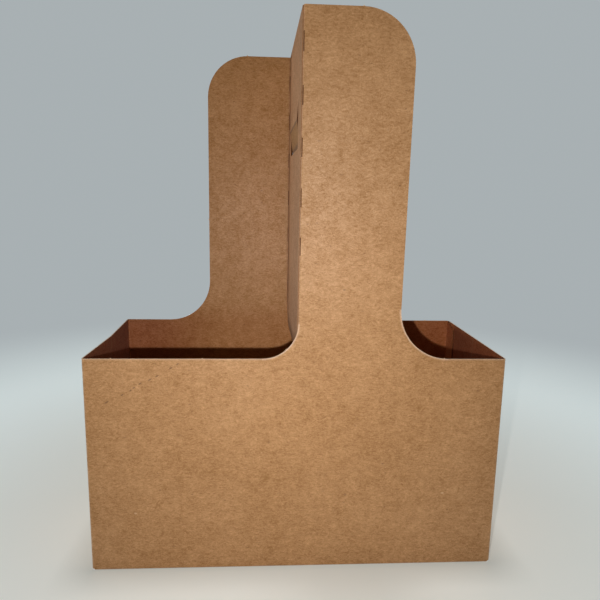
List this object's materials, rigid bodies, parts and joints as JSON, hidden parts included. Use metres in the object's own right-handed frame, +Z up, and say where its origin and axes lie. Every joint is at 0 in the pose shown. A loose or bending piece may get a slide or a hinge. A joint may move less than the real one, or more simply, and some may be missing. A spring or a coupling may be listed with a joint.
{
  "type": "cardboard cup carrier",
  "caption": "Open-topped box of folded kraft board for takeaway cups side by side, with a tall handle: offset half panels joined by a web that has a flapped finger slot.",
  "frame": {"origin": "middle of the footprint, on the surface that the carrier stands on", "axes": "+X along the long walls, to the right seen from the front; +Y from the front wall to the back wall; +Z up to the handle's top edge. The front half of the handle is right of the middle and the back half left of it"},
  "size_m": [0.208, 0.09, 0.2725],
  "materials": {
    "kraft_board": "matt uncoated brown kraft with fine fibre flecks"
  },
  "bodies": {
    "root": {"carrier": "kraft_board"}
  },
  "joints": []
}
